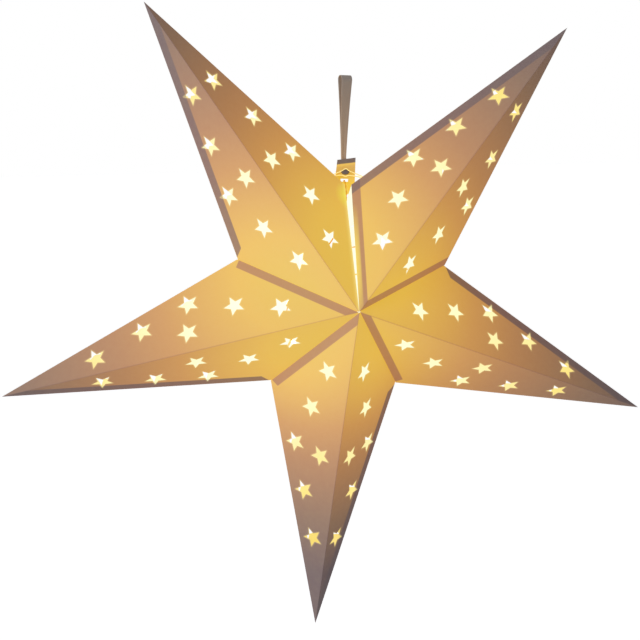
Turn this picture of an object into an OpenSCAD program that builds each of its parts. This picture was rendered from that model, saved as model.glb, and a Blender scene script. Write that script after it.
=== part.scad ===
// Five-pointed star lantern of white card, hung from a ribbon and lit by a short string of small lamps.
// Each point is one sheet, cut, folded and glued: four facets, a flap along one outer edge,
// and a flap along each of its two left valleys that goes under the next point.
// Lengths are in millimetres. The origin is the place in the ribbon loop that a hook bears on.

/* [Star] */
// Distance from the middle of the star to the tip of a point
tip_r = 315; // [290:1:340]
// Distance from the middle to a notch between two points
notch_r = 100; // [92:1:110]
// Distance from the middle plane to the front or the back peak
half_depth = 77.5; // [70:0.5:90]
// Width of the open seam between the two upper points, at its notch
seam_gap = 6.1; // [4.5:0.1:8]

/* [Card] */
// Thickness of the card
card_t = 0.4; // [0.3:0.05:0.6]
// Thickness of the glue between a flap and the card over it
glue_t = 0.05; // [0.03:0.01:0.1]
// Width of the glue flaps
flap_w = 8; // [6:0.5:9]
// Angle of the outer flap's cut end to its fold
flap_end_angle = 40; // [35:1:60]
// Distance that a flap's fold stops short of the corner of the sheet
flap_end_gap = 1.5; // [1:0.1:3]
// Gap between the plain edge of a sheet and the fold beside it
edge_gap = 0.1; // [0.05:0.05:0.3]
// Depth below each peak in which a sheet has no fold past the valley
peak_gap = 1.8; // [1.5:0.1:3]

/* [Star cut-outs] */
// Middle of a cut-out to its points
cut_r = 9.6; // [7:0.1:10.5]
// Middle of a cut-out to its inner corners
cut_waist_r = 4.3; // [3:0.1:5]
// First cut-out: distance from the peak along the ridge
cut_first_along = 66.6; // [60:0.1:72]
// First cut-out: distance from the ridge
cut_first_across = 23; // [20:0.1:26]
// From one row to the next, along the ridge
cut_row_along = 40.5; // [36:0.1:42]
// From one row to the next, away from the ridge
cut_row_across = 12; // [10:0.1:13]
// From one cut-out to the next in a row, parallel to the outer edge
cut_pitch = 47.2; // [42:0.1:49]
// Number of rows on a facet
cut_rows = 3; // [1:1:3]

/* [Hanging tab] */
// Distance of the tab behind the middle plane
tab_y = 8; // [7:0.5:10]
// Left edge of the tab, left of the seam
tab_left = 10.7; // [9:0.1:13]
// Right edge of the tab, right of the seam
tab_right = 8.2; // [7:0.1:10]
// How much narrower the tab is at the top, each side
tab_taper = 1.2; // [0:0.1:2]
// Height of the tab's top over the notch
tab_rise = 22; // [18:0.5:28]
// How much higher the top edge is on its right end
tab_slant = 2.7; // [0:0.1:4]
// Gap between the tab's foot and the star
tab_seat = 0.3; // [0.2:0.05:0.5]
// Width of the flaps that glue the tab to the back of the star
tab_flap_w = 7; // [5:0.5:9]
// Hole for the ribbon, across
ribbon_hole_d = 5; // [4.5:0.1:6]
// Ribbon hole, left of the seam's middle
ribbon_hole_left = 2; // [0:0.1:3]
// Height of the ribbon hole over the notch
ribbon_hole_rise = 10.4; // [9.5:0.1:12]
// Height of the slot for the lamp lead over the notch
lead_slot_rise = 2.6; // [2:0.1:3]
// Length of the slot for the lamp lead
lead_slot_l = 7; // [5:0.1:8]
// Width of the slot for the lamp lead
lead_slot_w = 2.6; // [2.4:0.1:3]

/* [Ribbon] */
// Width of the ribbon
ribbon_w = 10; // [10:0.1:12]
// Thickness of the ribbon
ribbon_t = 0.6; // [0.4:0.1:0.8]
// Height of the inside of the loop over the notch
loop_rise = 96; // [80:1:120]
// Top of the loop, left of the seam's middle
loop_left = 8.4; // [6:0.1:10]
// Distance of the loop's top behind the middle plane
loop_y = 6; // [4:0.5:9]
// Half of the widest opening of the loop, between the middles of its two legs
loop_half = 4; // [3.5:0.1:6]
// Gap between the two legs where they leave the gathered part
leg_gap = 0.2; // [0.1:0.1:0.4]
// Turn of the ribbon's face from straight ahead
ribbon_turn = 12; // [0:1:20]
// Width of the gathered ribbon at the tab
ribbon_neck_w = 4.6; // [4:0.1:6]
// How far the legs lean to the left where they pass the tab's top
ribbon_lean = 1.8; // [0:0.1:3]
// Knot in front of the tab, across
knot_w = 8; // [7.5:0.1:10]
// Height of the knot
knot_h = 5.4; // [5:0.1:7]
// Depth of the knot
knot_d = 3.2; // [2.5:0.1:4]
// Gap between the knot and what lies against it
knot_gap = 0.1; // [0.1:0.1:0.3]

/* [Closing thread] */
// Thickness of the thread
thread_d = 1; // [0.8:0.1:1.1]
// Width of the holes that the thread goes through
thread_hole_d = 3.4; // [3.2:0.1:3.8]
// Distance of the thread holes from the outer edge
thread_hole_in = 5; // [4:0.1:6]
// Distance of the thread holes from the notch
thread_hole_along = 13; // [11:0.5:16]

/* [Lamp string] */
// Thickness of the lamp lead, both wires together
lead_d = 1.4; // [1.2:0.1:1.6]
// Length of a lamp bead
bead_l = 6; // [5:0.1:7]
// Width of a lamp bead
bead_d = 3.6; // [3:0.1:4]
// Number of lamp beads
bead_count = 9; // [6:1:9]
// Gap around the lead where it goes through a bead
bead_fit = 0.05; // [0.05:0.01:0.1]
// Width of the battery case
case_w = 25; // [24:0.5:28]
// Height of the battery case
case_h = 30; // [29:0.5:34]
// Depth of the battery case with its lid
case_d = 10.4; // [10:0.1:12]
// Thickness of the case's walls and lid
case_wall = 1.2; // [1:0.1:1.5]
// Gap around the lid and around the lead where they meet the case
case_fit = 0.2; // [0.1:0.05:0.3]
// Diameter of a battery cell
cell_d = 20; // [18:0.5:20]
// Thickness of a battery cell
cell_t = 3.2; // [2.5:0.1:3.2]
// Gap around a battery cell
cell_fit = 0.3; // [0.2:0.05:0.4]

/* [Hanging] */
// How far the star turns clockwise in its own plane as it hangs
hang_turn = 3.8; // [0:0.1:6]

/* [Hidden] */

$fn = 32;
white_card = "#f4ead2";
far = 2 * tip_r;

// One point stands upright on the middle of the star, its tip along +Z, its front towards -Y
seam_angle = 2 * asin(seam_gap / 2 / notch_r);
point_angle = (360 - seam_angle) / 5;
tip = [0, 0, tip_r];
peak = [0, -half_depth, 0];
notch = [notch_r * sin(point_angle / 2), 0, notch_r * cos(point_angle / 2)];

// Axes of the front right facet: along the ridge, across it towards the notch, and inwards
along = unit(tip - peak);
across = unit((notch - peak) - ((notch - peak) * along) * along);
inwards = cross(along, across);
ridge_l = norm(tip - peak);
notch_uv = [(notch - peak) * along, (notch - peak) * across];
valley_l = norm(notch - peak);
valley_dir = notch_uv / valley_l;
valley_in = [valley_dir[1], -valley_dir[0]];
edge_dir = unit([ridge_l, 0] - notch_uv);
edge_in = [edge_dir[1], -edge_dir[0]];
edge_l = norm([ridge_l, 0] - notch_uv);

// A sheet's fold reaches this far past the valley, where its flap's outer face begins.
// The next sheet's plain edge stands clear of it.
valley_slope = asin(-inwards * [cos(point_angle / 2), 0, -sin(point_angle / 2)]);
fold_reach = (card_t + glue_t) / (2 * sin(valley_slope));
pyramid_reach = 1.15;

// Turns of the points, counter-clockwise from straight up
turn_top_left = (seam_angle + point_angle) / 2;
turn_left = turn_top_left + point_angle;
turn_bottom = turn_left + point_angle;
turn_right = turn_bottom + point_angle;
turn_top_right = turn_right + point_angle;

// Corners of the seam, and the lines along which the hanging tab meets the two upper points
seam_corner = notch_r * [sin(seam_angle / 2), cos(seam_angle / 2)];
tab_foot = seam_corner * (1 - tab_y / half_depth) + [0, tab_seat];
tab_edge = unit([tip_r * sin(turn_top_left), tip_r * cos(turn_top_left)] - seam_corner);
facet_slope = atan2(half_depth, notch_r * tip_r * sin(point_angle / 2) / edge_l);
tab_fold_in = tab_y / sin(facet_slope);
tab_top_z = notch_r + tab_rise;
ribbon_hole_z = notch_r + ribbon_hole_rise;
knot_y = tab_y - knot_d / 2 - knot_gap;

// The ribbon runs up behind the tab to the hook, which bears on the inside of the loop
hook = [-loop_left, loop_y, notch_r + loop_rise];
ribbon_top = hook + [0, 0, ribbon_t / 2];
ribbon_foot = [-ribbon_hole_left, tab_y + card_t + 2 * ribbon_t, ribbon_hole_z];
ribbon_bend = [-ribbon_hole_left - ribbon_lean, ribbon_foot[1], tab_top_z + tab_slant / 2];
ribbon_out = [sin(ribbon_turn), -cos(ribbon_turn), 0];
ribbon_side = [cos(ribbon_turn), sin(ribbon_turn), 0];
ribbon_steps = 12;
hook_steps = 8;

// The two runs of thread pass in front of the knot, spread apart inside the star
thread_side = 0.55 * thread_d;
thread_spread = 1.3 * thread_d;
thread_y = knot_y - knot_d / 2 - knot_gap - thread_d / 2;

// Middle of the slot in the tab that the lead comes over
lead_slot = [-1.8, notch_r + lead_slot_rise];

// Places along the lamp lead, from the battery case over the tab's slot and round the inside of the star
lead_route = [
    [-20, 28, 33], [-20, 28, 42], [-17.5, 26.5, 51], [-10, 22, 62], [-3, 16.5, 74], [-1, 13, 85], [-1.2, 12, 95],
    [-1.8, 10.6, 101], [-1.8, 8.2, 102.3], [-1.8, 5, 101.6], [-1.4, 2, 97], [-0.8, -1, 88],
    [-4, -7, 72], [-12, -13, 55], [-26, -18, 36], [-42, -20, 16], [-51, -18, -8],
    [-48, -10, -34], [-30, -2, -54], [-4, 4, -64], [24, 6, -56], [44, 2, -34],
    [52, -6, -8], [48, -14, 18], [34, -20, 38], [16, -24, 48], [-2, -20, 46]
];
lead_cuts = 3;
lead_sides = 8;
bead_first = 12.8;
bead_step = 1.56;
case_place = [-20, 28, 22];

function unit(v) = v / norm(v);
function turned(p, deg) = [p[0] * cos(deg) - p[2] * sin(deg), p[1], p[0] * sin(deg) + p[2] * cos(deg)];
function part_way(a, b, k) = a + k * (b - a);

// Flat places on a facet: so far along its outer edge from the notch, or its valley from the peak, and inside it
function in_edge(l, w) = notch_uv + l * edge_dir + w * edge_in;
function in_valley(l, w) = l * valley_dir + w * valley_in;

// Point on a smooth curve through a list of places
function smooth(p, i, t) =
    let (
        n = len(p),
        a = p[max(0, i - 1)],
        b = p[i],
        c = p[min(n - 1, i + 1)],
        d = p[min(n - 1, i + 2)]
    )
    0.5 * (2 * b + (c - a) * t + (2 * a - 5 * b + 4 * c - d) * t * t + (3 * b - 3 * c + d - a) * t * t * t);
function smooth_route(p, cuts) = [
    for (i = [0:len(p) - 2]) for (k = [0:cuts - 1]) smooth(p, i, k / cuts),
    p[len(p) - 1]
];

// Carries the upright star to the place where it hangs
module as_hung() {
    rotate([0, hang_turn, 0]) translate(-hook) children();
}

// Solid through a list of rings, each counter-clockwise as seen from the next
module swept(rings) {
    n = len(rings[0]);
    last = len(rings) - 1;
    walls = [
        for (i = [0:last - 1]) for (k = [0:n - 1])
            let (a = i * n + k, b = i * n + (k + 1) % n)
            each [[a, a + n, b + n], [a, b + n, b]]
    ];
    ends = [[for (k = [0:n - 1]) k], [for (k = [n - 1:-1:0]) last * n + k]];
    polyhedron(points = [for (r = rings) each r], faces = concat(walls, ends), convexity = 10);
}

module tube(route, d, sides) {
    last = len(route) - 1;
    swept([
        for (i = [0:last])
            let (
                h = unit(route[min(last, i + 1)] - route[max(0, i - 1)]),
                s = unit(cross(h, [1, 1, 0])),
                t = cross(h, s)
            )
            [for (k = [0:sides - 1]) route[i] + d / 2 * (cos(360 * k / sides) * s + sin(360 * k / sides) * t)]
    ]);
}

// Solid whose sides lie parallel to a point's four facets, that far inside them
module point_solid(inset, reach) {
    top = tip - [0, 0, inset / abs(inwards[2])];
    corners = [peak, [0, half_depth, 0], [-notch[0], 0, notch[2]], notch];
    polyhedron(
        points = concat([top], [for (c = corners) top + reach * (c - tip)]),
        faces = [[0, 4, 1], [0, 1, 3], [0, 2, 4], [0, 3, 2], [3, 1, 2], [1, 4, 2]]
    );
}

// Puts a flat shape, drawn as distance along and across the ridge, on one of a point's four facets
module on_facet(left, back) {
    mirror([left ? 1 : 0, 0, 0]) mirror([0, back ? 1 : 0, 0]) multmatrix([
        [along[0], across[0], inwards[0], peak[0]],
        [along[1], across[1], inwards[1], peak[1]],
        [along[2], across[2], inwards[2], peak[2]],
        [0, 0, 0, 1]
    ]) children();
}

module star_cut() {
    linear_extrude(height = 10 * card_t, center = true) polygon([
        for (k = [0:9])
            let (r = k % 2 == 0 ? cut_r : cut_waist_r)
            r * [cos(36 * k), sin(36 * k)]
    ]);
}

module facet_cuts() {
    for (row = [0:cut_rows - 1]) for (k = [0:row]) {
        place = [cut_first_along, cut_first_across] + row * [cut_row_along, cut_row_across]
            + k * cut_pitch * edge_dir;
        translate([place[0], place[1], 0]) star_cut();
    }
}

module thread_hole() {
    place = in_edge(thread_hole_along, thread_hole_in);
    translate([place[0], place[1], -5 * card_t]) cylinder(d = thread_hole_d, h = 10 * card_t);
}

// Flap along the valley, under the facet; depth is that of its outer face, and start is how near the valley it begins
module valley_flap(depth, start) {
    ridge_angle = atan2(notch_uv[1], notch_uv[0]);
    translate([0, 0, depth]) linear_extrude(height = card_t) polygon([
        in_valley(peak_gap + 3 * card_t, start),
        in_valley(valley_l - flap_end_gap, start),
        in_valley(valley_l - 2 * flap_end_gap, flap_w),
        in_valley(flap_w / tan(ridge_angle) + flap_end_gap, flap_w)
    ]);
}

// Flap along the outer edge, glued inside the facet: it follows the ridge to the tip
module edge_flap() {
    tip_angle = atan2(notch_uv[1], ridge_l - notch_uv[0]);
    translate([0, 0, card_t / 2]) linear_extrude(height = 1.5 * card_t) polygon([
        in_edge(flap_end_gap, card_t),
        in_edge(flap_w / tan(flap_end_angle), flap_w),
        in_edge(edge_l - flap_w / tan(tip_angle) - card_t, flap_w),
        [ridge_l - 3 * card_t, card_t / 2]
    ]);
}

// One folded sheet. Its left valleys have flaps, for the next point or, at the open seam, folded back under itself
module star_point(turn, open_left, open_right) {
    left_end = open_left ? 0 : fold_reach + card_t;
    right_end = open_right ? 0 : fold_reach + edge_gap;
    color(white_card) as_hung() rotate([0, -turn, 0]) union() {
        difference() {
            point_solid(0, pyramid_reach);
            point_solid(card_t, pyramid_reach + 0.1);
            rotate([0, -point_angle / 2, 0]) translate([-far - left_end, -far / 2, -far / 2]) cube(far);
            for (y = [peak_gap - half_depth - far, half_depth - peak_gap])
                rotate([0, -point_angle / 2, 0]) translate([-far, y, -far / 2]) cube(far);
            rotate([0, point_angle / 2, 0]) translate([-right_end, -far / 2, -far / 2]) cube(far);
            for (left = [false, true]) for (back = [false, true]) on_facet(left, back) facet_cuts();
            if (open_left) on_facet(true, true) thread_hole();
            if (open_right) on_facet(false, true) thread_hole();
        }
        on_facet(true, false) edge_flap();
        for (back = [false, true]) {
            if (open_left) {
                on_facet(true, back) valley_flap(card_t / 2, card_t);
            } else {
                rotate([0, -point_angle, 0]) on_facet(false, back)
                    valley_flap(card_t + glue_t, (card_t + glue_t) / tan(2 * valley_slope));
            }
        }
    }
}

// Card tab behind the seam's notch, with a foot cut to the slope of the two points and a flap glued on each
module hanging_tab() {
    slope = tab_edge[1] / tab_edge[0];
    color(white_card) as_hung() {
        difference() {
            translate([0, tab_y + card_t, 0]) rotate([90, 0, 0]) linear_extrude(height = card_t) polygon([
                [-tab_foot[0], tab_foot[1]],
                [tab_foot[0], tab_foot[1]],
                [tab_right, tab_foot[1] + (tab_right - tab_foot[0]) * slope],
                [tab_right - tab_taper, tab_top_z + tab_slant / 2],
                [-tab_left + tab_taper, tab_top_z - tab_slant / 2],
                [-tab_left, tab_foot[1] + (tab_left - tab_foot[0]) * slope]
            ]);
            translate([-ribbon_hole_left, tab_y - card_t, ribbon_hole_z]) rotate([-90, 0, 0])
                cylinder(d = ribbon_hole_d, h = 3 * card_t);
            translate([lead_slot[0], tab_y + 2 * card_t, lead_slot[1]]) rotate([90, 0, 0])
                linear_extrude(height = 3 * card_t) square([lead_slot_l, lead_slot_w], center = true);
        }
        rotate([0, -turn_top_left, 0]) on_facet(false, true) tab_flap((tab_left - tab_foot[0]) / tab_edge[0]);
        rotate([0, -turn_top_right, 0]) on_facet(true, true) tab_flap((tab_right - tab_foot[0]) / tab_edge[0]);
    }
}

module tab_flap(l) {
    lean = valley_dir * edge_dir / (valley_dir * edge_in);
    start = tab_fold_in * lean + card_t;
    deep = tab_fold_in + tab_flap_w;
    translate([0, 0, -glue_t - card_t]) linear_extrude(height = card_t) polygon([
        in_edge(start, tab_fold_in),
        in_edge(start + l, tab_fold_in),
        in_edge(start + l - flap_end_gap, deep),
        in_edge(deep * lean + flap_end_gap, deep)
    ]);
}

// Ribbon: two legs behind the tab, a loop over the hook, and a knot that holds it in the tab's hole
module hanging_ribbon() {
    color("#8a8178") as_hung() {
        swept(concat(
            [for (i = [0:ribbon_steps]) leg_ring(i / ribbon_steps, 1)],
            [for (i = [1:hook_steps - 1]) hook_ring(180 * i / hook_steps)],
            [for (i = [ribbon_steps:-1:0]) leg_ring(i / ribbon_steps, -1)]
        ));
        hull() {
            gathered(ribbon_foot, knot_h / 2);
            gathered(ribbon_bend, 2 * ribbon_t);
        }
        translate([-ribbon_hole_left, knot_y, ribbon_hole_z]) scale([knot_w, knot_d, knot_h]) sphere(d = 1, $fn = 24);
        translate([-ribbon_hole_left, knot_y, ribbon_hole_z]) rotate([-90, 0, 0])
            cylinder(d = ribbon_hole_d - 4 * knot_gap, h = ribbon_foot[1] - knot_y);
    }
}

module gathered(place, high) {
    translate(place) rotate([0, 0, ribbon_turn]) cube([ribbon_neck_w, 2 * ribbon_t, high], center = true);
}

// The legs run from the bend to the top, side by side at first, then apart by the loop's opening
function leg_ring(k, way) =
    strip_ring(
        part_way(ribbon_bend, ribbon_top - [0, 0, loop_half], k)
            + way * part_way((ribbon_t + leg_gap) / 2, loop_half, k * k) * ribbon_out,
        way * ribbon_out,
        part_way(ribbon_neck_w, ribbon_w, k)
    );
function hook_ring(a) =
    let (out = cos(a) * ribbon_out + [0, 0, sin(a)])
    strip_ring(ribbon_top + [0, 0, -loop_half] + loop_half * out, out, ribbon_w);
function strip_ring(middle, out, w) = [
    for (c = [[-1, -1], [1, -1], [1, 1], [-1, 1]])
        middle + c[0] * ribbon_t / 2 * out + c[1] * w / 2 * ribbon_side
];

// Thread laced twice between the two upper points, over and under the ribbon's knot
module closing_thread() {
    over = ribbon_hole_z + knot_h / 2 + thread_d / 2;
    under = ribbon_hole_z - knot_h / 2 - thread_d;
    route = concat(
        [for (w = [4, 1.5, -1.5]) at_hole(w, w > 2 ? thread_spread : thread_side, false)],
        crossing(-1, over - 2.2 * thread_d, over),
        [for (w = [-1.5, 1.5, 4]) at_hole(w, w > 2 ? thread_spread : thread_side, true)],
        [at_hole(6, 0, true)],
        [for (w = [4, 1.5, -1.5]) at_hole(w, w > 2 ? -thread_spread : -thread_side, true)],
        crossing(1, under + thread_d, under),
        [for (w = [-1.5, 1.5, 4]) at_hole(w, w > 2 ? -thread_spread : -thread_side, false)]
    );
    color("#f6efdc") as_hung() tube(smooth_route(route, 3), thread_d, 8);
}

// Three places in front of the knot, from left to right where way is -1
function crossing(way, side_z, middle_z) = [
    [-ribbon_hole_left + way * knot_w / 2, thread_y, side_z],
    [-ribbon_hole_left, thread_y, middle_z],
    [-ribbon_hole_left - way * knot_w / 2, thread_y, side_z]
];

// Place in an upper point's thread hole, w inside the card's outer face and off along the outer edge
function at_hole(w, off, right) =
    let (
        uv = in_edge(thread_hole_along + off, thread_hole_in),
        p = peak + uv[0] * along + uv[1] * across + w * inwards
    )
    turned([right ? -p[0] : p[0], -p[1], p[2]], right ? turn_top_right : turn_top_left);

module lamp_lead() {
    color("#b8803c") as_hung() tube(smooth_route(lead_route, lead_cuts), lead_d, lead_sides);
}

// Clear drops on the lead, each round one small lamp
module lamp_beads() {
    color("#fff3c4") as_hung() difference() {
        for (k = [0:bead_count - 1]) {
            place = bead_first + k * bead_step;
            i = floor(place);
            middle = smooth(lead_route, i, place - i);
            ahead = unit(smooth(lead_route, i, place - i + 0.05) - middle);
            translate(middle) rotate([0, acos(ahead[2]), atan2(ahead[1], ahead[0])]) bead();
        }
        tube(smooth_route(lead_route, lead_cuts), lead_d + 2 * bead_fit, lead_sides);
    }
}

module bead() {
    rotate_extrude($fn = 16) polygon([
        [0, -bead_l / 2],
        [bead_d * 0.3, -bead_l * 0.42],
        [bead_d / 2, -bead_l * 0.15],
        [bead_d / 2, bead_l * 0.15],
        [bead_d * 0.3, bead_l * 0.42],
        [0, bead_l / 2]
    ]);
}

// Battery case: a box open at the back, with a hole in its top for the lead
module battery_case() {
    color("#f2f0ea") as_hung() translate(case_place) difference() {
        cube([case_w, case_d, case_h], center = true);
        translate([0, case_wall, 0]) cube([case_w - 2 * case_wall, case_d, case_h - 2 * case_wall], center = true);
        translate([0, 0, case_h / 2 - 2 * case_wall]) cylinder(d = lead_d + 2 * case_fit, h = 3 * case_wall);
    }
}

module battery_lid() {
    fit = 2 * case_wall + 2 * case_fit;
    color("#e6e3db") as_hung() translate(case_place + [0, (case_d - case_wall) / 2, 0])
        cube([case_w - fit, case_wall, case_h - fit], center = true);
}

// Round cell standing on the bottom of the case; the second one lies behind the first
module battery_cell(k) {
    first = [0, case_wall + cell_fit - case_d / 2, case_wall + cell_fit + cell_d / 2 - case_h / 2];
    color("#c9ccd0") as_hung() translate(case_place + first + [0, k * (cell_t + cell_fit / 2), 0])
        rotate([-90, 0, 0]) cylinder(d = cell_d, h = cell_t);
}

star_point(turn_bottom, false, false);  // point_bottom
star_point(turn_right, false, false);  // point_right
star_point(turn_top_right, true, false);  // point_top_right
star_point(turn_top_left, false, true);  // point_top_left
star_point(turn_left, false, false);  // point_left
hanging_tab();
hanging_ribbon();
closing_thread();
lamp_lead();
lamp_beads();
battery_case();
battery_lid();
battery_cell(0);  // battery_cell_1
battery_cell(1);  // battery_cell_2
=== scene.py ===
"""Paper star lantern: folded card points that glow from a string of small lamps, hung from a tape loop."""
import math

import bpy
from mathutils import Matrix, Vector


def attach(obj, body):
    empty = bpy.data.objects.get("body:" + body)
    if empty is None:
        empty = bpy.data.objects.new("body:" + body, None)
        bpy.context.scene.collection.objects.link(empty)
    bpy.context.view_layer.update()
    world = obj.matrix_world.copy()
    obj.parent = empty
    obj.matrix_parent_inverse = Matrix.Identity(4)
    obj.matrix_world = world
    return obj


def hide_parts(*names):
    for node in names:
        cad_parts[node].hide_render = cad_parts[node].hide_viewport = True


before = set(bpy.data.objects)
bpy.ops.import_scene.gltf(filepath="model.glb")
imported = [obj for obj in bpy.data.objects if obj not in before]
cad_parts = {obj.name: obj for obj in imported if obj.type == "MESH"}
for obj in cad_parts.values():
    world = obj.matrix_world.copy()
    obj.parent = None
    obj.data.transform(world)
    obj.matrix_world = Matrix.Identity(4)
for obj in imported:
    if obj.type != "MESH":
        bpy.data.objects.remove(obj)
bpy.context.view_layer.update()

# Sizes of the star, in metres. One point stands upright on the star's middle, its front towards -Y.
TIP_R = 0.315
NOTCH_R = 0.100
HALF_DEPTH = 0.0775
SEAM_GAP = 0.0061
CARD_T = 0.0004
FLAP_W = 0.008
FLAP_END_GAP = 0.0015
FLAP_END_ANGLE = math.radians(40)
HOOK = Vector((-0.0084, 0.006, 0.196))
HANG_TURN = math.radians(3.8)
SEAM_ANGLE = 2 * math.asin(SEAM_GAP / 2 / NOTCH_R)
POINT_ANGLE = (2 * math.pi - SEAM_ANGLE) / 5
FIRST_TURN = (SEAM_ANGLE + POINT_ANGLE) / 2

# Points in counter-clockwise order: which of their sides lies at the open seam, and how much faster than on
# average their card dims outwards. No lamp hangs down into the bottom point.
POINTS = {
    "point_top_left": ("right", 0.0),
    "point_left": ("", -0.1),
    "point_bottom": ("", 0.35),
    "point_right": ("", -0.1),
    "point_top_right": ("left", 0.0),
}
DIMS_FROM = 0.09

# Axes of an upright point's front right facet: along the ridge, across it towards the notch, and inwards
PEAK = Vector((0, -HALF_DEPTH, 0))
TIP = Vector((0, 0, TIP_R))
NOTCH = NOTCH_R * Vector((math.sin(POINT_ANGLE / 2), 0, math.cos(POINT_ANGLE / 2)))
ALONG = (TIP - PEAK).normalized()
ACROSS = ((NOTCH - PEAK) - (NOTCH - PEAK).dot(ALONG) * ALONG).normalized()
INWARDS = ALONG.cross(ACROSS)
VALLEY = (NOTCH - PEAK).normalized()
EDGE = (TIP - NOTCH).normalized()
EDGE_IN = EDGE.cross(INWARDS)
PLANE_AWAY = -PEAK.dot(INWARDS)
VALLEY_SLOPE = math.asin(-INWARDS.dot(Vector((math.cos(POINT_ANGLE / 2), 0, -math.sin(POINT_ANGLE / 2)))))

# Star cut-outs: their own size, and where they lie along and across the ridge, in rows parallel to the valley
CUT_R = 0.0096
CUT_WAIST_R = 0.0043
CUT_FIRST = (0.0666, 0.023)
CUT_ROW = (0.0405, 0.012)
CUT_PITCH = 0.0472
CUT_ROWS = 3

# Hanging tab
TAB_Y = 0.008
TAB_TOP = 0.122
TAB_SLANT = 0.0027
TAB_W = 0.0165

# Ribbon
RIBBON_W = 0.010
RIBBON_NECK_W = 0.0046
RIBBON_T = 0.0006
LOOP_HALF = 0.004
LEG_GAP = 0.0002
RIBBON_TURN = math.radians(12)
RIBBON_HOLE = Vector((-0.002, TAB_Y, 0.1104))
RIBBON_FOOT = RIBBON_HOLE + Vector((0, CARD_T + 2 * RIBBON_T, 0))
RIBBON_BEND = Vector((-0.0038, RIBBON_FOOT.y, TAB_TOP + TAB_SLANT / 2))
KNOT_SIZE = Vector((0.008, 0.0032, 0.0054))
KNOT_GAP = 0.0001

# Closing thread
THREAD_D = 0.001
THREAD_HOLE_ALONG = 0.013
THREAD_HOLE_IN = 0.005
THREAD_Y = TAB_Y - KNOT_SIZE.y - 2 * KNOT_GAP - THREAD_D / 2

# Lamp string: the places that its lead passes, in millimetres from the star's middle
LEAD_ROUTE = [
    (-20, 28, 33), (-20, 28, 42), (-17.5, 26.5, 51), (-10, 22, 62), (-3, 16.5, 74), (-1, 13, 85), (-1.2, 12, 95),
    (-1.8, 10.6, 101), (-1.8, 8.2, 102.3), (-1.8, 5, 101.6), (-1.4, 2, 97), (-0.8, -1, 88),
    (-4, -7, 72), (-12, -13, 55), (-26, -18, 36), (-42, -20, 16), (-51, -18, -8),
    (-48, -10, -34), (-30, -2, -54), (-4, 4, -64), (24, 6, -56), (44, 2, -34),
    (52, -6, -8), (48, -14, 18), (34, -20, 38), (16, -24, 48), (-2, -20, 46),
]
LEAD_D = 0.0014
LEAD_CUTS = 6
TWIST_STEPS = 8
BEAD_L = 0.006
BEAD_D = 0.0036
BEAD_COUNT = 9
BEAD_FIRST = 12.8
BEAD_STEP = 1.56

# The camera of the photograph, and the floor under the lantern
CAMERA_AT = Vector((-0.3766, -1.6575, 0.1565))
LOOK_AT = Vector((-0.0231, -0.0072, -0.2191))
CAMERA_ROLL = math.radians(0.36)
LENS_MM = 107.55
FLOOR_Z = -0.95


def hung(place):
    """A place measured from the star's middle, carried to where the star hangs."""
    return Matrix.Rotation(HANG_TURN, 3, "Y") @ (Vector(place) - HOOK)


def linear(hex_code, alpha=1.0):
    """An sRGB hex colour as linear red, green, blue and alpha."""
    parts = [int(hex_code[i : i + 2], 16) / 255 for i in (1, 3, 5)]
    return tuple(c / 12.92 if c <= 0.04045 else ((c + 0.055) / 1.055) ** 2.4 for c in parts) + (alpha,)


def add(tree, kind, inputs=None, **settings):
    """A node with its settings. An input is a plain value or another node's output."""
    made = tree.nodes.new(kind)
    for name, value in settings.items():
        setattr(made, name, value)
    for key, value in (inputs or {}).items():
        if isinstance(value, bpy.types.NodeSocket):
            tree.links.new(value, made.inputs[key])
        else:
            made.inputs[key].default_value = value
    return made


def maths(tree, operation, *values):
    return add(tree, "ShaderNodeMath", dict(enumerate(values)), operation=operation).outputs[0]


def share(tree, value, none_at, all_at):
    """How far a value has come from one level to the other, from 0 to 1."""
    inputs = {"Value": value, "From Min": none_at, "From Max": all_at}
    return add(tree, "ShaderNodeMapRange", inputs, clamp=True).outputs["Result"]


def mixed(tree, factor, first, second, way="MIX"):
    """Colour between two others."""
    made = add(tree, "ShaderNodeMix", {"Factor": factor}, data_type="RGBA", blend_type=way)
    for socket, value in zip([s for s in made.inputs if s.type == "RGBA"], (first, second)):
        if isinstance(value, bpy.types.NodeSocket):
            tree.links.new(value, socket)
        else:
            socket.default_value = value
    return next(s for s in made.outputs if s.type == "RGBA")


def ramp(tree, factor, stops, reach):
    """Colour by distance, from stops given in metres, up to the reach."""
    made = add(tree, "ShaderNodeValToRGB", {"Fac": maths(tree, "DIVIDE", factor, reach)})
    scale = made.color_ramp
    while len(scale.elements) < len(stops):
        scale.elements.new(0.5)
    for element, (place, hex_code) in zip(scale.elements, stops):
        element.position = place / reach
        element.color = linear(hex_code)
    return made.outputs["Color"]


def new_material(name):
    """A material with its node tree and its Principled shader."""
    made = bpy.data.materials.new(name)
    made.use_nodes = True
    made.cycles.emission_sampling = "NONE"
    return made, made.node_tree, made.node_tree.nodes["Principled BSDF"]


def finish(tree, shader, **inputs):
    """Sets a shader's sockets, named with underscores for their spaces."""
    for name, value in inputs.items():
        socket = shader.inputs[name.replace("_", " ")]
        if isinstance(value, bpy.types.NodeSocket):
            tree.links.new(value, socket)
        else:
            socket.default_value = value


def make_camera():
    camera = bpy.data.objects.new("camera", bpy.data.cameras.new("camera"))
    bpy.context.scene.collection.objects.link(camera)
    camera.data.lens = LENS_MM
    camera.data.sensor_width = 36
    aim = (LOOK_AT - CAMERA_AT).to_track_quat("-Z", "Y").to_matrix() @ Matrix.Rotation(CAMERA_ROLL, 3, "Z")
    camera.matrix_world = Matrix.Translation(CAMERA_AT) @ aim.to_4x4()
    bpy.context.scene.camera = camera


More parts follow.
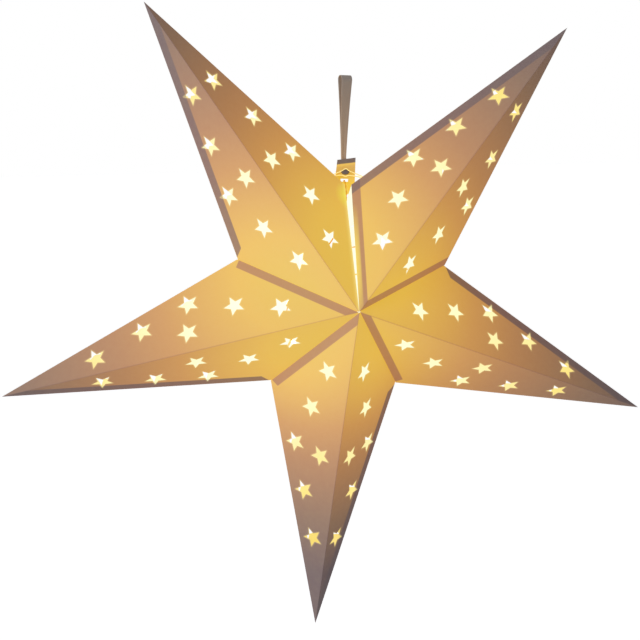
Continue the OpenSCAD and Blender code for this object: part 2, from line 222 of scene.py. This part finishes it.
def smooth(places, i, t):
    """Place on a smooth curve, a share t of the way from place i to the next."""
    last = len(places) - 1
    a, b, c, d = (places[max(0, min(last, j))] for j in (i - 1, i, i + 1, i + 2))
    return 0.5 * (2 * b + (c - a) * t + (2 * a - 5 * b + 4 * c - d) * t**2 + (3 * b - 3 * c + d - a) * t**3)


def smooth_route(places, cuts):
    last = len(places) - 1
    return [smooth(places, i, k / cuts) for i in range(last) for k in range(cuts)] + [places[last]]


def mesh_object(name, points, faces, shade_smooth=True):
    mesh = bpy.data.meshes.new(name)
    mesh.from_pydata([tuple(p) for p in points], [], faces)
    mesh.update()
    for face in mesh.polygons:
        face.use_smooth = shade_smooth
    made = bpy.data.objects.new(name, mesh)
    bpy.context.scene.collection.objects.link(made)
    return made


def sides_of(route, i):
    """Two directions square to a route at one of its points, and to each other."""
    ahead = (route[min(len(route) - 1, i + 1)] - route[max(0, i - 1)]).normalized()
    side = ahead.cross(Vector((1, 1, 0))).normalized()
    return side, ahead.cross(side)


def twisted(name, route, width, strands, steps, sides=6):
    """Strands of wire or yarn laid round each other along a route, with a full turn in so many steps."""
    strand_r = width / 2 / (1 + 1 / math.sin(math.pi / strands))
    points = []
    faces = []
    for strand in range(strands):
        places = []
        for i, middle in enumerate(route):
            side, up = sides_of(route, i)
            a = 2 * math.pi * (strand / strands + i / steps)
            places.append(middle + (width / 2 - strand_r) * (math.cos(a) * side + math.sin(a) * up))
        start = len(points)
        for i, middle in enumerate(places):
            side, up = sides_of(route, i)
            for k in range(sides):
                a = 2 * math.pi * k / sides
                points.append(middle + strand_r * (math.cos(a) * side + math.sin(a) * up))
        last = len(route) - 1
        for i in range(last):
            for k in range(sides):
                a, b = start + i * sides + k, start + i * sides + (k + 1) % sides
                faces.append((a, b, b + sides, a + sides))
        faces.append(tuple(start + sides - 1 - k for k in range(sides)))
        faces.append(tuple(start + last * sides + k for k in range(sides)))
    return mesh_object(name, points, faces)


# Lamplight that comes through one layer of card, by distance from the middle of the lamps, and the light on
# the card's inner faces
LAMP_CENTRE = (-0.020, 0.0, 0.005)
GLOW_REACH = 0.40
GLOW = [(0.04, "#d0af00"), (0.08, "#d6aa00"), (0.11, "#cb9800"), (0.14, "#b97f00"),
        (0.18, "#9d6600"), (0.22, "#835500"), (0.26, "#664400"), (0.33, "#2a1400")]
INNER_GLOW = [(0.07, "#d4e0d0"), (0.105, "#d4debd"), (0.147, "#d6dba6"),
              (0.183, "#d6d190"), (0.227, "#d6ca75"), (0.31, "#cbbb5d")]

# A second layer lets less of it through: under the valleys the flap lies flat, at the outer edges it is glued
VALLEY_SHADE = (0.5, 0.32, 0.3, 1)
EDGE_SHADE = (0.25, 0.19, 0.2, 1)
# Painted shade along each ridge's crease, and patchy painted shade where the card is clouded
CREASE_SHADE = (0.78, 0.7, 0.7, 1)
CREASE_REACH = (0.0007, 0.0002)
CLOUD_SHADE = (0.6, 0.5, 0.4, 1)
CLOUD_SHARE = 0.1

# Light that leaks out: along the open seam, on the side that each of its two points has there, at the seam's
# upper end, and beside the cut-outs
SEAM_LIGHT = {"right": (0.9, 0.75, 0.2, 1), "left": (0.72, 0.52, 0.0, 1)}
SEAM_FALL = {"right": 2.0, "left": 0.6}
SEAM_SHARE = {"right": 0.6, "left": 1.0}
SEAM_REACH = {"right": 0.005, "left": 0.0075}
SEAM_STEP = (0.0048, 0.0036)
SEAM_FADE = (0.086, 0.062)
MOUTH = (0.0, -0.007, 0.091)
MOUTH_REACH = (0.015, 0.003)
MOUTH_LIGHT = (0.76, 0.66, 0.0, 1)
MOUTH_SHARE = 0.8
CUT_LIGHT = (1.0, 0.8, 0.25, 1)
CUT_REACH = 0.0013
CUT_SHARE = 0.3

# How near a face lies to its facet's plane to count as an outer one, and how wide folds and edges blend
FACE_MARGIN = 0.0002
FOLD_REACH = (0.0012, 0.0008)
SOFT_STEP = 0.0003

# Light on the hanging tab, by distance below its top
TAB_GLOW = [(0.0, "#100c00"), (0.0036, "#241a00"), (0.0043, "#dcb010"),
            (0.0068, "#c49600"), (0.012, "#bc9000"), (0.022, "#dab400")]
TAB_GLOW_REACH = 0.03


def from_lamps(tree, spot):
    inputs = {0: spot, 1: hung(LAMP_CENTRE)}
    return add(tree, "ShaderNodeVectorMath", inputs, operation="DISTANCE").outputs["Value"]


def card_finish(tree, shader, spot):
    """White card, its face painted a darker mauve-grey as painted shade of the dim room light: a matt face,
    faintly clouded, with pulp fibres and a slight wave.
    """
    clouds = add(tree, "ShaderNodeTexNoise", {"Vector": spot, "Scale": 160, "Detail": 5, "Roughness": 0.65})
    cloud = share(tree, clouds.outputs["Fac"], 0.3, 0.7)
    face = mixed(tree, cloud, linear("#a19193"), linear("#a99a96"))
    waves = add(tree, "ShaderNodeTexNoise", {"Vector": spot, "Scale": 14, "Detail": 2})
    fibres = add(tree, "ShaderNodeTexNoise", {"Vector": spot, "Scale": 1500, "Detail": 3, "Roughness": 0.7})
    wavy = add(tree, "ShaderNodeBump", {"Height": waves.outputs["Fac"], "Strength": 0.35, "Distance": 0.004})
    rough = add(tree, "ShaderNodeBump", {
        "Height": fibres.outputs["Fac"],
        "Strength": 0.2,
        "Distance": 0.0002,
        "Normal": wavy.outputs["Normal"],
    })
    finish(tree, shader, Base_Color=face, Roughness=0.85, Specular_IOR_Level=0.2, Normal=rough.outputs["Normal"])
    return cloud


def sum_of(tree, values, shares):
    """Sum of two values, each times its share."""
    return maths(tree, "ADD", *(maths(tree, "MULTIPLY", v, s) for v, s in zip(values, shares)))


def way_along(tree, place, axis, start):
    """How far a place lies from the start, measured along an axis."""
    dot = add(tree, "ShaderNodeVectorMath", {0: place, 1: axis}, operation="DOT_PRODUCT").outputs["Value"]
    return maths(tree, "SUBTRACT", dot, start.dot(axis))


def beside_cuts(tree, place):
    """Distance outside the nearest star cut-out, for a place on the front right facet."""
    flat = [way_along(tree, place, axis, PEAK + first * axis) for axis, first in zip((ALONG, ACROSS), CUT_FIRST)]
    step = (CUT_PITCH * EDGE.dot(ALONG), CUT_PITCH * EDGE.dot(ACROSS))
    area = CUT_ROW[0] * step[1] - CUT_ROW[1] * step[0]
    rows = sum_of(tree, flat, (step[1] / area, -step[0] / area))
    places = sum_of(tree, flat, (-CUT_ROW[1] / area, CUT_ROW[0] / area))
    row = maths(tree, "MINIMUM", maths(tree, "MAXIMUM", maths(tree, "ROUND", rows), 0.0), CUT_ROWS - 1.0)
    place = maths(tree, "MINIMUM", maths(tree, "MAXIMUM", maths(tree, "ROUND", places), 0.0), row)
    near = [maths(tree, "SUBTRACT", flat[i], sum_of(tree, (row, place), (CUT_ROW[i], step[i]))) for i in (0, 1)]
    away = maths(tree, "SQRT", maths(tree, "ADD", *(maths(tree, "MULTIPLY", v, v) for v in near)))
    fifth = 2 * math.pi / 5
    angle = maths(tree, "ARCTAN2", near[1], near[0])
    whole = maths(tree, "MULTIPLY", maths(tree, "ROUND", maths(tree, "DIVIDE", angle, fifth)), fifth)
    angle = maths(tree, "ABSOLUTE", maths(tree, "SUBTRACT", angle, whole))
    waist = (CUT_WAIST_R * math.cos(fifth / 2), CUT_WAIST_R * math.sin(fifth / 2))
    side = math.hypot(waist[0] - CUT_R, waist[1])
    square = (waist[1] / side, (CUT_R - waist[0]) / side)
    ahead = maths(tree, "MULTIPLY", away, maths(tree, "COSINE", angle))
    aside = maths(tree, "MULTIPLY", away, maths(tree, "SINE", angle))
    from_side = maths(tree, "SUBTRACT", sum_of(tree, (ahead, aside), square), square[0] * CUT_R)
    return maths(tree, "MAXIMUM", from_side, maths(tree, "SUBTRACT", away, CUT_R))


def point_card(name, turn, seam_side, dims):
    """Card of one point: it glows through a single layer, and less where a flap doubles it."""
    material, tree, shader = new_material(name)
    spot = add(tree, "ShaderNodeTexCoord").outputs["Object"]
    cloud = card_finish(tree, shader, spot)

    # The same place on the point as it stands upright on the star's middle
    placed = add(tree, "ShaderNodeMapping", {
        "Vector": spot,
        "Location": Matrix.Rotation(turn, 3, "Y") @ HOOK,
        "Rotation": (0, turn - HANG_TURN, 0),
    }).outputs["Vector"]
    x, y, z = add(tree, "ShaderNodeSeparateXYZ", {0: placed}).outputs
    from_ridge = maths(tree, "ABSOLUTE", x)
    up_part = maths(tree, "MULTIPLY", z, math.sin(POINT_ANGLE / 2))
    side_part = maths(tree, "MULTIPLY", from_ridge, math.cos(POINT_ANGLE / 2))
    from_valley = maths(tree, "DIVIDE", maths(tree, "SUBTRACT", up_part, side_part), math.cos(VALLEY_SLOPE))
    from_edge = maths(tree, "DIVIDE", maths(tree, "ABSOLUTE", y), abs(EDGE_IN.y))
    left = share(tree, x, SOFT_STEP, -SOFT_STEP)
    right = share(tree, x, -SOFT_STEP, SOFT_STEP)
    front = share(tree, y, SOFT_STEP, -SOFT_STEP)

    # The same place again on the front right facet, which the others mirror
    down = maths(tree, "MULTIPLY", maths(tree, "ABSOLUTE", y), -1.0)
    on_facet = add(tree, "ShaderNodeCombineXYZ", {0: from_ridge, 1: down, 2: z}).outputs[0]

    # Where a second layer lies: the outer flap on the front left facet, and the flaps under the valleys
    edge_flap = share(tree, from_edge, FLAP_W + SOFT_STEP, FLAP_W - SOFT_STEP)
    edge_flap = maths(tree, "MULTIPLY", edge_flap, maths(tree, "MULTIPLY", left, front))
    valley_flap = share(tree, from_valley, FLAP_W + SOFT_STEP, FLAP_W - SOFT_STEP)
    valley_flap = maths(tree, "MULTIPLY", valley_flap, {"": right, "right": 0.0, "left": 1.0}[seam_side])
    if seam_side != "left":
        lean = FLAP_END_GAP / FLAP_W
        to_notch = maths(tree, "MULTIPLY", way_along(tree, on_facet, VALLEY, NOTCH), -1.0)
        spare = sum_of(tree, (to_notch, from_valley), (1.0, -lean))
        flap_ends = share(tree, spare, FLAP_END_GAP - SOFT_STEP, FLAP_END_GAP + SOFT_STEP)
        valley_flap = maths(tree, "MULTIPLY", valley_flap, flap_ends)
        slant = 1 / math.tan(FLAP_END_ANGLE) - lean
        spare = sum_of(tree, (way_along(tree, on_facet, EDGE, NOTCH), from_edge), (1.0, -slant))
        flap_ends = share(tree, spare, FLAP_END_GAP - SOFT_STEP, FLAP_END_GAP + SOFT_STEP)
        edge_flap = maths(tree, "MULTIPLY", edge_flap, flap_ends)

    away = from_lamps(tree, spot)
    beyond = maths(tree, "MAXIMUM", maths(tree, "SUBTRACT", away, DIMS_FROM), 0.0)
    away = sum_of(tree, (away, beyond), (1.0, dims))
    glow = ramp(tree, away, GLOW, GLOW_REACH)
    glow = mixed(tree, valley_flap, glow, VALLEY_SHADE, "MULTIPLY")
    glow = mixed(tree, edge_flap, glow, EDGE_SHADE, "MULTIPLY")
    crease = share(tree, from_ridge, *CREASE_REACH)
    glow = mixed(tree, crease, glow, CREASE_SHADE, "MULTIPLY")
    glow = mixed(tree, maths(tree, "MULTIPLY", cloud, CLOUD_SHARE), glow, CLOUD_SHADE, "MULTIPLY")

    at_cut = share(tree, beside_cuts(tree, on_facet), CUT_REACH, 0.0)
    glow = mixed(tree, maths(tree, "MULTIPLY", at_cut, CUT_SHARE), glow, CUT_LIGHT)
    folded = 1.0
    if seam_side:
        folded, this_side = (right, left) if seam_side == "left" else (left, right)
        near = maths(tree, "POWER", share(tree, from_valley, SEAM_REACH[seam_side], 0.0), SEAM_FALL[seam_side])
        at_seam = maths(tree, "MULTIPLY", maths(tree, "MULTIPLY", near, this_side), SEAM_SHARE[seam_side])
        if seam_side == "left":
            from_middle = add(tree, "ShaderNodeVectorMath", {0: placed}, operation="LENGTH").outputs["Value"]
            at_seam = maths(tree, "MULTIPLY", at_seam, share(tree, from_middle, *SEAM_FADE))
            at_seam = maths(tree, "MULTIPLY", at_seam, share(tree, from_valley, *SEAM_STEP))
        glow = mixed(tree, at_seam, glow, SEAM_LIGHT[seam_side])
    if seam_side == "right":
        inputs = {0: spot, 1: hung(MOUTH)}
        from_mouth = add(tree, "ShaderNodeVectorMath", inputs, operation="DISTANCE").outputs["Value"]
        at_mouth = maths(tree, "MULTIPLY", share(tree, from_mouth, *MOUTH_REACH), MOUTH_SHARE)
        glow = mixed(tree, at_mouth, glow, MOUTH_LIGHT)

    # Only outer faces and folds are shaded so: inner faces and the cut-outs' edges stand in the full lamplight
    normal = add(tree, "ShaderNodeNewGeometry").outputs["True Normal"]
    to_middle = add(tree, "ShaderNodeVectorMath", {0: spot, 1: hung((0, 0, 0))}, operation="SUBTRACT").outputs[0]
    facing = add(tree, "ShaderNodeVectorMath", {0: normal, 1: to_middle}, operation="DOT_PRODUCT").outputs["Value"]
    outer = maths(tree, "COMPARE", facing, PLANE_AWAY, FACE_MARGIN)
    in_fold = share(tree, maths(tree, "ABSOLUTE", from_valley), *FOLD_REACH)
    outer = maths(tree, "MAXIMUM", outer, maths(tree, "MULTIPLY", in_fold, folded))
    inner_glow = ramp(tree, away, INNER_GLOW, GLOW_REACH)
    light = mixed(tree, outer, inner_glow, glow)
    finish(tree, shader, Emission_Color=light, Emission_Strength=1.0)
    return material


def tab_card():
    """Card of the hanging tab: painted lamplight from the mouth below it, and painted shade on a folded strip
    along its top.
    """
    material, tree, shader = new_material("tab_card")
    spot = add(tree, "ShaderNodeTexCoord").outputs["Object"]
    card_finish(tree, shader, spot)
    placed = add(tree, "ShaderNodeMapping", {
        "Vector": spot,
        "Location": HOOK,
        "Rotation": (0, -HANG_TURN, 0),
    }).outputs["Vector"]
    x, y, z = add(tree, "ShaderNodeSeparateXYZ", {0: placed}).outputs
    top = maths(tree, "ADD", maths(tree, "MULTIPLY", x, TAB_SLANT / TAB_W), TAB_TOP)
    below_top = maths(tree, "SUBTRACT", top, z)
    glow = ramp(tree, below_top, TAB_GLOW, TAB_GLOW_REACH)
    finish(tree, shader, Emission_Color=glow, Emission_Strength=1.0)
    return material


def dress(node, material):
    """Gives a CAD node its finish."""
    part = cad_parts[node]
    part.data.materials.clear()
    part.data.materials.append(material)


def copper_wire():
    # Enamelled copper wire: the clear varnish keeps it shiny, brown-orange and smooth, and painted lamplight makes
    # it glow
    material, tree, shader = new_material("enamelled_copper_painted_glow")
    finish(tree, shader, Base_Color=linear("#c48422"), Metallic=0.4, Roughness=0.35,
           Emission_Color=linear("#9c7818"), Emission_Strength=1.0)
    return material


def make_lead(drops):
    """Two enamelled wires twisted into one lead. The drops it is given are not used."""
    route = smooth_route([hung(Vector(p) * 0.001) for p in LEAD_ROUTE], LEAD_CUTS)
    lead = twisted("lead_wires", route, LEAD_D, 2, TWIST_STEPS)
    lead.data.materials.append(copper_wire())
    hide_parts("lamp_lead")
    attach(lead, "root")


def clear_resin():
    # A clear drop of resin over each lamp, filled with its warm light
    material, tree, shader = new_material("lamp_resin")
    finish(tree, shader, Base_Color=linear("#fff8e0"), Roughness=0.1, Transmission_Weight=0.4, IOR=1.5,
           Emission_Color=linear("#fff2c0"), Emission_Strength=2.0)
    return material


def drop_tree(material):
    """Node tree that sets a drop on each of the points it is given, along their direction."""
    tree = bpy.data.node_groups.new("lamp_drops", "GeometryNodeTree")
    for name, kind, way in (("Points", "NodeSocketGeometry", "INPUT"), ("Drop length", "NodeSocketFloat", "INPUT"),
                            ("Drop width", "NodeSocketFloat", "INPUT"), ("Drops", "NodeSocketGeometry", "OUTPUT")):
        tree.interface.new_socket(name, in_out=way, socket_type=kind)
    given = add(tree, "NodeGroupInput").outputs
    ball = add(tree, "GeometryNodeMeshUVSphere", {"Segments": 20, "Rings": 14, "Radius": 0.5})
    width = given["Drop width"]
    size = add(tree, "ShaderNodeCombineXYZ", {0: width, 1: width, 2: given["Drop length"]})
    drop = add(tree, "GeometryNodeTransform", {"Geometry": ball.outputs["Mesh"], "Scale": size.outputs[0]})
    ahead = add(tree, "GeometryNodeInputNamedAttribute", {"Name": "ahead"}, data_type="FLOAT_VECTOR")
    turned = add(tree, "FunctionNodeAlignRotationToVector", {"Vector": ahead.outputs["Attribute"]}, axis="Z")
    drops = add(tree, "GeometryNodeInstanceOnPoints", {
        "Points": given["Points"],
        "Instance": drop.outputs["Geometry"],
        "Rotation": turned.outputs["Rotation"],
    })
    smooth_faces = add(tree, "GeometryNodeSetShadeSmooth", {0: drops.outputs["Instances"]})
    real = add(tree, "GeometryNodeRealizeInstances", {"Geometry": smooth_faces.outputs[0]})
    done = add(tree, "GeometryNodeSetMaterial", {"Geometry": real.outputs["Geometry"], "Material": material})
    add(tree, "NodeGroupOutput", {"Drops": done.outputs["Geometry"]})
    return tree


def make_drops():
    """Nine drops of resin along the lead."""
    places = [Vector(p) * 0.001 for p in LEAD_ROUTE]
    points = []
    ahead = []
    for k in range(BEAD_COUNT):
        i, t = divmod(BEAD_FIRST + k * BEAD_STEP, 1)
        points.append(hung(smooth(places, int(i), t)))
        ahead.append((hung(smooth(places, int(i), t + 0.05)) - points[-1]).normalized())
    drops = mesh_object("resin_drops", points, [])
    directions = drops.data.attributes.new("ahead", "FLOAT_VECTOR", "POINT")
    directions.data.foreach_set("vector", [c for v in ahead for c in v])
    material = clear_resin()
    tree = drop_tree(material)
    modifier = drops.modifiers.new("drops", "NODES")
    modifier.node_group = tree
    values = {"Drop length": BEAD_L, "Drop width": BEAD_D}
    for socket in tree.interface.items_tree:
        if socket.name in values:
            modifier[socket.identifier] = values[socket.name]
    bpy.context.view_layer.update()
    seen = drops.evaluated_get(bpy.context.evaluated_depsgraph_get())
    made = bpy.data.meshes.new_from_object(seen)
    drops.modifiers.remove(modifier)
    drops.data = made
    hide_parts("lamp_beads")
    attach(drops, "root")
    return drops


def ribbon_ring(middle, out, width, pleat):
    """Points across the tape: its two edges and the folds between them."""
    side = Vector((math.cos(RIBBON_TURN), math.sin(RIBBON_TURN), 0))
    across = 12
    return [
        middle + (k / across - 0.5) * width * side + pleat * math.sin(3 * math.pi * k / across) * out
        for k in range(across + 1)
    ]


def make_ribbon():
    """Tape that goes up behind the tab, over the hook and down again, gathered where it is tied."""
    out = Vector((math.sin(RIBBON_TURN), -math.cos(RIBBON_TURN), 0))
    top = HOOK + Vector((0, 0, RIBBON_T / 2 - LOOP_HALF))
    steps = 24
    turn_steps = 10
    rings = []
    near = (RIBBON_T + LEG_GAP) / 2

    def leg(k, way):
        middle = RIBBON_BEND.lerp(top, k) + way * (near + (LOOP_HALF - near) * k * k) * out
        return ribbon_ring(middle, out, RIBBON_NECK_W + (RIBBON_W - RIBBON_NECK_W) * k, 0.0002 * (1 - k) ** 2)

    def foot(k, way):
        middle = RIBBON_FOOT.lerp(RIBBON_BEND, k) + way * near * out
        return ribbon_ring(middle, out, RIBBON_NECK_W, 0.0002)

    rings += [foot(k / 4, 1) for k in range(4)]
    rings += [leg(k / steps, 1) for k in range(steps + 1)]
    for i in range(1, turn_steps):
        a = math.pi * i / turn_steps
        lift = math.cos(a) * out + Vector((0, 0, math.sin(a)))
        rings.append(ribbon_ring(top + LOOP_HALF * lift, lift, RIBBON_W, 0))
    rings += [leg(k / steps, -1) for k in range(steps, -1, -1)]
    rings += [foot(k / 4, -1) for k in range(3, -1, -1)]
    wide = len(rings[0])
    points = [hung(p) for ring in rings for p in ring]
    faces = [
        (i * wide + k, i * wide + k + 1, (i + 1) * wide + k + 1, (i + 1) * wide + k)
        for i in range(len(rings) - 1)
        for k in range(wide - 1)
    ]
    tape = mesh_object("tape", points, faces)
    weave_map = tape.data.uv_layers.new(name="weave")
    along = [0.0]
    for a, b in zip(rings, rings[1:]):
        along.append(along[-1] + (b[wide // 2] - a[wide // 2]).length)
    for loop in tape.data.loops:
        ring, across = divmod(loop.vertex_index, wide)
        weave_map.data[loop.index].uv = (across / (wide - 1) * RIBBON_W, along[ring])
    thick = tape.modifiers.new("thickness", "SOLIDIFY")
    thick.thickness = 0.0004
    thick.offset = 0
    tape.data.materials.append(woven_tape("woven_tape", "#aca096", "#dccfc0", "#5c3c10"))
    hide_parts("hanging_ribbon")
    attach(tape, "root")


def woven_tape(name, dark, light, lower_light):
    # Woven polyester tape: ribs across it, painted in lighter and darker bands where they catch the light, and
    # painted lamplight warms its lower end
    material, tree, shader = new_material(name)
    place = add(tree, "ShaderNodeUVMap", uv_map="weave").outputs["UV"]
    ribs = add(tree, "ShaderNodeTexWave", {"Vector": place, "Scale": 450, "Distortion": 0.4},
               wave_type="BANDS", bands_direction="Y")
    colour = mixed(tree, ribs.outputs["Fac"], linear(dark), linear(light))
    bump = add(tree, "ShaderNodeBump", {"Height": ribs.outputs["Fac"], "Strength": 0.4, "Distance": 0.0002})
    spot = add(tree, "ShaderNodeTexCoord").outputs["Object"]
    painted_lamp_glow = ramp(tree, from_lamps(tree, spot), [(0.12, lower_light), (0.20, "#000000")], 0.25)
    finish(tree, shader, Base_Color=colour, Roughness=0.7, Normal=bump.outputs["Normal"],
           Emission_Color=painted_lamp_glow, Emission_Strength=1.0)
    return material


def make_knot():
    """The tape's knot: wraps of tape round a firm middle."""
    around, high = 32, 16
    middle = RIBBON_HOLE - Vector((0, KNOT_SIZE.y / 2 + KNOT_GAP, 0))
    points = []
    for i in range(high + 1):
        lat = math.pi * (i / high - 0.5)
        for k in range(around):
            lon = 2 * math.pi * k / around
            wrap = 1 - 0.09 * abs(math.sin(3 * (lat + 0.5 * math.sin(lon))))
            unit = Vector((math.cos(lat) * math.cos(lon), math.cos(lat) * math.sin(lon), math.sin(lat)))
            points.append(hung(middle + wrap * 0.5 * Vector(a * b for a, b in zip(unit, KNOT_SIZE))))
    faces = [
        (i * around + k, i * around + (k + 1) % around, (i + 1) * around + (k + 1) % around, (i + 1) * around + k)
        for i in range(high)
        for k in range(around)
    ]
    knot = mesh_object("tape_knot", points, faces)
    # The knot's tape is painted darker than the loop's, as painted shade, and gets no painted lamplight
    knot.data.materials.append(woven_tape("knotted_tape_painted_shade", "#847a80", "#aaa0a4", "#000000"))
    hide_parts("hanging_ribbon")
    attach(knot, "root")


def at_hole(depth, off, right):
    """Place in an upper point's thread hole, so far inside the card's face and off along the outer edge."""
    place = NOTCH + (THREAD_HOLE_ALONG + off) * EDGE + THREAD_HOLE_IN * EDGE_IN + depth * INWARDS
    place = Vector((-place.x if right else place.x, -place.y, place.z))
    turn = FIRST_TURN + (4 * POINT_ANGLE if right else 0)
    return Matrix.Rotation(-turn, 3, "Y") @ place


def crossing(way, side_z, middle_z):
    """Three places in front of the knot, from left to right where way is -1."""
    return [
        Vector((RIBBON_HOLE.x + way * KNOT_SIZE.x / 2, THREAD_Y, side_z)),
        Vector((RIBBON_HOLE.x, THREAD_Y, middle_z)),
        Vector((RIBBON_HOLE.x - way * KNOT_SIZE.x / 2, THREAD_Y, side_z)),
    ]


def make_thread():
    """Three-strand thread laced between the two upper points, over and under the knot."""
    beside, spread = 0.55 * THREAD_D, 1.3 * THREAD_D
    over = RIBBON_HOLE.z + KNOT_SIZE.z / 2 + THREAD_D / 2
    under = RIBBON_HOLE.z - KNOT_SIZE.z / 2 - THREAD_D
    inside = [(0.004, spread), (0.0015, beside), (-0.0015, beside)]
    places = [at_hole(w, off, False) for w, off in inside]
    places += crossing(-1, over - 2.2 * THREAD_D, over)
    places += [at_hole(w, off, True) for w, off in reversed(inside)]
    places += [at_hole(0.006, 0, True)]
    places += [at_hole(w, -off, True) for w, off in inside]
    places += crossing(1, under + THREAD_D, under)
    places += [at_hole(w, -off, False) for w, off in reversed(inside)]
    route = smooth_route([hung(p) for p in places], 8)
    thread = twisted("thread_strands", route, THREAD_D, 3, 7)
    thread.data.materials.append(cotton_thread())
    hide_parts("closing_thread")
    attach(thread, "root")


def cotton_thread():
    # Cream cotton in the lamplight of the star's mouth
    material, tree, shader = new_material("cotton_thread")
    finish(tree, shader, Base_Color=linear("#efe4c8"), Roughness=0.9, Sheen_Weight=0.3,
           Emission_Color=linear("#e8c860"), Emission_Strength=0.8)
    return material


def case_plastic(name, colour):
    # Moulded battery case: a fine satin grain, and painted lamplight that makes it glow
    material, tree, shader = new_material(name)
    spot = add(tree, "ShaderNodeTexCoord").outputs["Object"]
    grain = add(tree, "ShaderNodeTexNoise", {"Vector": spot, "Scale": 2500, "Detail": 2})
    bump = add(tree, "ShaderNodeBump", {"Height": grain.outputs["Fac"], "Strength": 0.15, "Distance": 0.0001})
    finish(tree, shader, Base_Color=linear(colour), Roughness=0.45, Normal=bump.outputs["Normal"],
           Emission_Color=linear("#dcd8ac"), Emission_Strength=0.9)
    return material


def cell_steel():
    # Nickel-plated steel, turned fine
    material, tree, shader = new_material("cell_steel")
    finish(tree, shader, Base_Color=linear("#c2c4c6"), Metallic=1.0, Roughness=0.3)
    return material


def shown_white(tree):
    """1 for what the camera sees directly, in a reflection or through glass."""
    path = add(tree, "ShaderNodeLightPath").outputs
    seen = maths(tree, "MAXIMUM", path["Is Camera Ray"], path["Is Glossy Ray"])
    return maths(tree, "MAXIMUM", seen, path["Is Transmission Ray"])


def make_floor():
    size = 6
    corners = [(-size, -size, FLOOR_Z), (size, -size, FLOOR_Z), (size, size, FLOOR_Z), (-size, size, FLOOR_Z)]
    floor = mesh_object("floor", corners, [(0, 1, 2, 3)], shade_smooth=False)
    material, tree, shader = new_material("floor_paper")
    level = maths(tree, "MULTIPLY", shown_white(tree), 0.78)
    finish(tree, shader, Base_Color=linear("#f0f0f0"), Roughness=0.9, Emission_Color=linear("#ffffff"),
           Emission_Strength=level)
    floor.data.materials.append(material)


def make_light():
    """A dim, even room, white where the camera looks past the lantern, and a soft key from the upper left."""
    world = bpy.data.worlds.new("white_room")
    bpy.context.scene.world = world
    world.use_nodes = True
    tree = world.node_tree
    tree.nodes.clear()
    room = add(tree, "ShaderNodeBackground", {"Color": linear("#e2e4ee"), "Strength": 0.265})
    white = add(tree, "ShaderNodeBackground", {"Color": linear("#ffffff"), "Strength": 1.0})
    mix = add(tree, "ShaderNodeMixShader", {0: shown_white(tree), 1: room.outputs[0], 2: white.outputs[0]})
    add(tree, "ShaderNodeOutputWorld", {"Surface": mix.outputs[0]})
    lamp = bpy.data.lights.new("key", "AREA")
    lamp.energy = 19
    lamp.size = 1.0
    key = bpy.data.objects.new("key", lamp)
    bpy.context.scene.collection.objects.link(key)
    key.location = (-2.1, -1.3, 0.63)
    key.rotation_mode = "QUATERNION"
    key.rotation_quaternion = (Vector((0, 0, -0.2)) - key.location).to_track_quat("-Z", "Y")


bpy.context.scene.view_settings.view_transform = "Standard"
make_camera()
make_lead(make_drops())
for number, (point, (seam, dims)) in enumerate(POINTS.items()):
    dress(point, point_card("card_" + point, FIRST_TURN + number * POINT_ANGLE, seam, dims))
dress("hanging_tab", tab_card())
make_ribbon()
make_knot()
make_thread()
dress("battery_case", case_plastic("case_white_painted_glow", "#e9e6dd"))
dress("battery_lid", case_plastic("lid_ivory_painted_glow", "#dedacd"))
for cell in ("battery_cell_1", "battery_cell_2"):
    dress(cell, cell_steel())
make_floor()
make_light()
